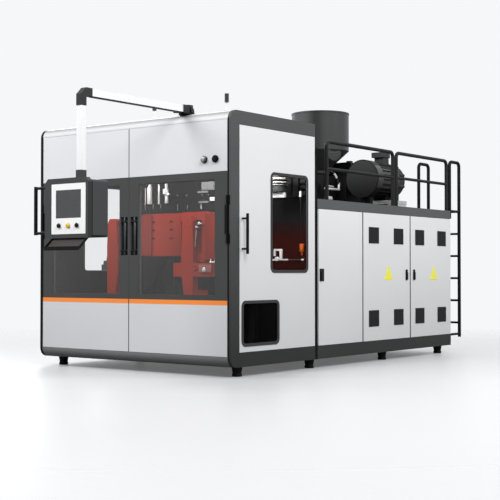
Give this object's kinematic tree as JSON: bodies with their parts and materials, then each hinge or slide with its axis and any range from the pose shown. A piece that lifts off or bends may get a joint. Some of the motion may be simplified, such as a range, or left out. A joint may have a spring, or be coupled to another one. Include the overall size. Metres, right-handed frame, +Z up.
{
  "type": "blow moulding machine",
  "caption": "Extrusion blow moulding machine: enclosed mould clamp housing with hinged glazed doors, railed extruder platform over cabinets, and an operator panel on a swinging arm.",
  "frame": {"origin": "on the floor, under the centre of the machine's overall length and width", "axes": "+Y runs from the operator's front with the control panel to the ladder at the back, +X to the side with the ladder and the cabinet doors, +Z up"},
  "size_m": [2.839, 6.461, 3.05],
  "materials": {
    "white_paint": "satin",
    "frame_paint": "satin",
    "dark_paint": "satin",
    "red_paint": "satin",
    "blue_grey_paint": "satin",
    "tinted_glass": "gloss",
    "black_plastic": "matte",
    "yellow_plastic": "gloss",
    "screen_glass": "gloss",
    "bare_steel": "brushed",
    "bright_steel": "polished",
    "cast_steel": "rough",
    "mould_metal": "machined"
  },
  "bodies": {
    "machine": {"side_frame_right": "frame_paint", "side_frame_left": "frame_paint", "base_bed": "dark_paint", "roof_cover": "white_paint", "rear_bulkhead": "dark_paint", "levelling_feet": "black_plastic", "roof_pivot": "dark_paint", "roof_beacons": "black_plastic", "clamp_bed": "dark_paint", "clamp_cylinder": "dark_paint", "head_beam": "dark_paint", "die_head": "cast_steel", "heater_bands": "bare_steel", "extruder_barrel": "cast_steel", "hopper": "frame_paint", "gearbox": "dark_paint", "drive_motor": "dark_paint", "drive_base": "white_paint", "rear_base": "frame_paint", "rear_posts": "frame_paint", "platform_deck": "frame_paint", "railings": "dark_paint", "ladder": "dark_paint", "cabinet_shell": "white_paint", "rear_panels": "white_paint", "power_pack": "blue_grey_paint", "switchgear": "bare_steel"},
    "front_door_right": {"front_door_right_frame": "frame_paint", "front_door_right_panels": "white_paint", "front_door_right_glass": "tinted_glass"},
    "front_door_left": {"front_door_left_frame": "frame_paint", "front_door_left_panels": "white_paint", "front_door_left_glass": "tinted_glass"},
    "side_door_right": {"side_door_right_leaf": "white_paint", "side_door_right_glass": "tinted_glass", "side_door_right_fittings": "black_plastic"},
    "side_door_left": {"side_door_left_leaf": "white_paint", "side_door_left_glass": "tinted_glass", "side_door_left_fittings": "black_plastic"},
    "cabinet_leaf_1": {"cabinet_door_1": "white_paint"},
    "cabinet_leaf_2": {"cabinet_door_2": "white_paint"},
    "cabinet_leaf_3": {"cabinet_door_3": "white_paint"},
    "latch_1": {"cabinet_latch_1": "black_plastic"},
    "latch_2": {"cabinet_latch_2": "black_plastic"},
    "latch_3": {"cabinet_latch_3": "black_plastic"},
    "panel_arm": {"arm_tubes": "white_paint", "arm_joints": "frame_paint"},
    "panel_head": {"panel_box": "frame_paint", "panel_faceplate": "white_paint", "panel_screen": "screen_glass", "panel_fittings": "frame_paint"},
    "left_button": {"button_left": "black_plastic"},
    "middle_button": {"button_middle": "yellow_plastic"},
    "right_button": {"button_right": "black_plastic"},
    "front_clamp": {"front_platen": "red_paint", "front_mould": "mould_metal"},
    "rear_clamp": {"rear_platen": "red_paint", "rear_mould": "mould_metal"},
    "pin_carriage": {"blow_pin": "bright_steel"},
    "screw": {"extruder_screw": "bright_steel"}
  },
  "joints": [
    {"name": "front_door_right_hinge", "type": "hinge", "parent": "machine", "child": "front_door_right", "pos_m": [1.2995, -1.6015, 1.533], "axis": [0, 0, 1], "range_deg": [0, 95]},
    {"name": "front_door_left_hinge", "type": "hinge", "parent": "machine", "child": "front_door_left", "pos_m": [-1.2995, -1.6015, 1.533], "axis": [0, 0, -1], "range_deg": [0, 95]},
    {"name": "side_door_right_hinge", "type": "hinge", "parent": "machine", "child": "side_door_right", "pos_m": [1.327, -0.1725, 1.352], "axis": [0, 0, 1], "range_deg": [0, 95]},
    {"name": "side_door_left_hinge", "type": "hinge", "parent": "machine", "child": "side_door_left", "pos_m": [-1.327, -0.1725, 1.352], "axis": [0, 0, -1], "range_deg": [0, 95]},
    {"name": "cabinet_door_1_hinge", "type": "hinge", "parent": "machine", "child": "cabinet_leaf_1", "pos_m": [1.327, 0.7865, 0.971], "axis": [0, 0, 1], "range_deg": [0, 85]},
    {"name": "cabinet_door_2_hinge", "type": "hinge", "parent": "machine", "child": "cabinet_leaf_2", "pos_m": [1.327, 0.8345, 0.971], "axis": [0, 0, -1], "range_deg": [0, 85]},
    {"name": "cabinet_door_3_hinge", "type": "hinge", "parent": "machine", "child": "cabinet_leaf_3", "pos_m": [1.327, 2.9005, 0.971], "axis": [0, 0, 1], "range_deg": [0, 85]},
    {"name": "latch_1_turn", "type": "hinge", "parent": "cabinet_leaf_1", "child": "latch_1", "pos_m": [1.339, -0.0395, 0.994], "axis": [1, 0, 0], "range_deg": [0, 90]},
    {"name": "latch_2_turn", "type": "hinge", "parent": "cabinet_leaf_2", "child": "latch_2", "pos_m": [1.339, 1.7945, 0.994], "axis": [-1, 0, 0], "range_deg": [0, 90]},
    {"name": "latch_3_turn", "type": "hinge", "parent": "cabinet_leaf_3", "child": "latch_3", "pos_m": [1.339, 1.9745, 0.994], "axis": [1, 0, 0], "range_deg": [0, 90]},
    {"name": "arm_swing", "type": "hinge", "parent": "machine", "child": "panel_arm", "pos_m": [0.709, -1.5005, 2.655], "axis": [0, 0, -1], "range_deg": [-20, 60]},
    {"name": "panel_swivel", "type": "hinge", "parent": "panel_arm", "child": "panel_head", "pos_m": [0.709, -2.9625, 1.944], "axis": [0, 0, 1], "range_deg": [-90, 90]},
    {"name": "left_button_press", "type": "slide", "parent": "panel_head", "child": "left_button", "axis": [0, 1, 0], "range_m": [0, 0.004], "stiffness_N_per_m": 400},
    {"name": "middle_button_press", "type": "slide", "parent": "panel_head", "child": "middle_button", "axis": [0, 1, 0], "range_m": [0, 0.004], "stiffness_N_per_m": 400},
    {"name": "right_button_press", "type": "slide", "parent": "panel_head", "child": "right_button", "axis": [0, 1, 0], "range_m": [0, 0.004], "stiffness_N_per_m": 400},
    {"name": "front_clamp_slide", "type": "slide", "parent": "machine", "child": "front_clamp", "axis": [0, -1, 0], "range_m": [0, 0.18]},
    {"name": "rear_clamp_slide", "type": "slide", "parent": "machine", "child": "rear_clamp", "axis": [0, 1, 0], "range_m": [0, 0.18]},
    {"name": "blow_pin_slide", "type": "slide", "parent": "machine", "child": "pin_carriage", "axis": [0, 0, 1], "range_m": [0, 0.09]},
    {"name": "screw_turn", "type": "hinge", "parent": "machine", "child": "screw", "pos_m": [0, 0.8095, 2.12], "axis": [0, 1, 0], "continuous": true}
  ],
  "couplings": [
    {"joint": "rear_clamp_slide", "follows": "front_clamp_slide", "ratio": 1}
  ]
}
